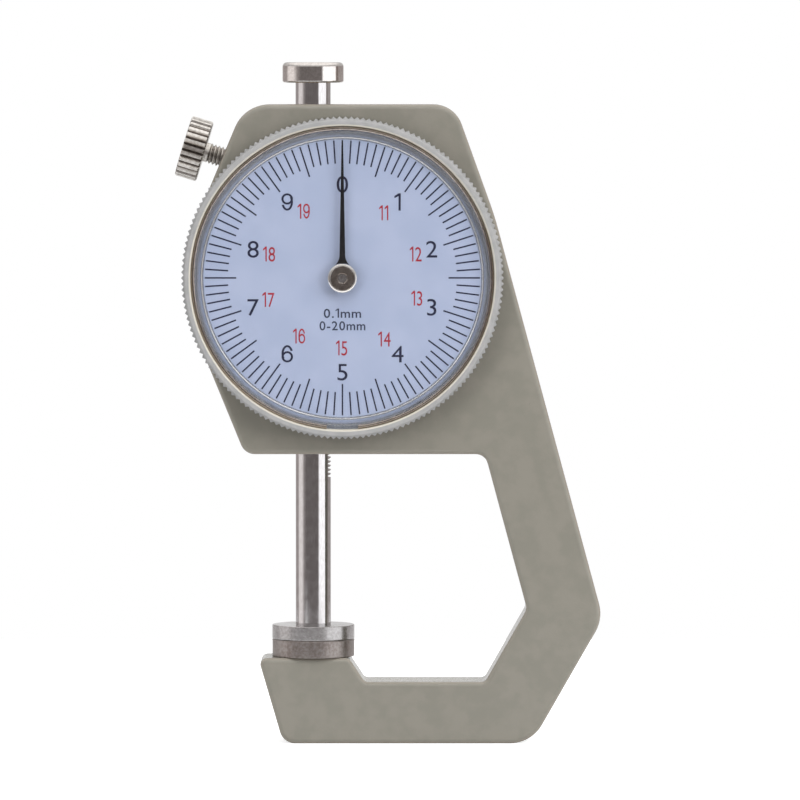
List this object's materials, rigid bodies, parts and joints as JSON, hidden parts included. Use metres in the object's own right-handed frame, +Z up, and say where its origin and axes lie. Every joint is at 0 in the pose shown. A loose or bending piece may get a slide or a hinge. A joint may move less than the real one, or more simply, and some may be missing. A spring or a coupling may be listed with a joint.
{
  "type": "dial thickness gauge",
  "caption": "Hand-held dial thickness gauge: cast C-frame, flat anvil and contact, rack spindle that turns a pointer over a dial, knurled zero bezel and a lock screw.",
  "frame": {"origin": "on the flat foot of the arm, right below the spindle's axis, in the middle of the frame's thickness", "axes": "+Z up the spindle's axis, +X towards the back of the C, dial faces -Y"},
  "size_m": [0.0517, 0.0152, 0.0826],
  "materials": {
    "frame_paint": "satin grey-green enamel",
    "bronze": "reamed",
    "anvil_steel": "ground",
    "contact_steel": "ground",
    "spindle_steel": "polished",
    "button_chrome": "polished",
    "pin_steel": "hardened",
    "spring_steel": "drawn wire",
    "arbor_steel": "polished",
    "brass": "turned",
    "screw_steel": "turned",
    "hairspring_bronze": "rolled strip",
    "pointer_black": "black enamel",
    "hub_chrome": "polished",
    "bezel_grey": "satin light grey",
    "dial_print": "matt print",
    "crystal": "clear acrylic",
    "snap_steel": "drawn bright wire",
    "lock_nickel": "nickel plate"
  },
  "bodies": {
    "frame": {"frame": "frame_paint", "upper_bush": "bronze", "lower_bush": "bronze", "anvil": "anvil_steel", "spring_post": "pin_steel", "return_spring": "spring_steel", "rear_bearing": "brass", "front_bearing": "brass", "cock": "brass", "cock_screws": "screw_steel", "hairspring": "hairspring_bronze", "hairspring_stud": "brass", "bezel_wire": "spring_steel"},
    "spindle": {"spindle": "spindle_steel", "contact": "contact_steel", "lift_button": "button_chrome", "guide_pin": "pin_steel", "spring_pin": "pin_steel"},
    "pointer": {"pinion_arbor": "arbor_steel", "hairspring_collet": "brass", "pointer": "pointer_black", "pointer_hub": "hub_chrome", "pointer_sleeve": "brass"},
    "bezel": {"bezel": "bezel_grey", "dial_plate": "dial_print", "crystal": "crystal", "snap_ring": "snap_steel"},
    "lock_pad": {"lock_pad": "brass"},
    "lock_screw": {"lock_screw": "lock_nickel"}
  },
  "joints": [
    {"name": "spindle_slide", "type": "slide", "parent": "frame", "child": "spindle", "axis": [0, 0, 1], "range_m": [0, 0.02], "stiffness_N_per_m": 30, "springref_m": -0.0267, "deforming": ["return_spring"]},
    {"name": "pointer_spin", "type": "hinge", "parent": "frame", "child": "pointer", "pos_m": [0.0036, 0, 0.05661], "axis": [0, 1, 0], "range_deg": [-1, 721]},
    {"name": "bezel_turn", "type": "hinge", "parent": "frame", "child": "bezel", "pos_m": [0.0036, 0, 0.05661], "axis": [0, 1, 0], "continuous": true},
    {"name": "lock_slide", "type": "slide", "parent": "frame", "child": "lock_pad", "axis": [-0.9563, 0, 0.2924], "range_m": [-0.00025, 0.0009]},
    {"name": "lock_turn", "type": "hinge", "parent": "lock_pad", "child": "lock_screw", "pos_m": [0, 0, 0.06771], "axis": [-0.9563, 0, 0.2924], "range_deg": [-201, 721]}
  ],
  "couplings": [
    {"joint": "pointer_spin", "follows": "spindle_slide", "rad_per_m": 628.32},
    {"joint": "lock_turn", "follows": "lock_slide", "rad_per_m": 13963}
  ]
}
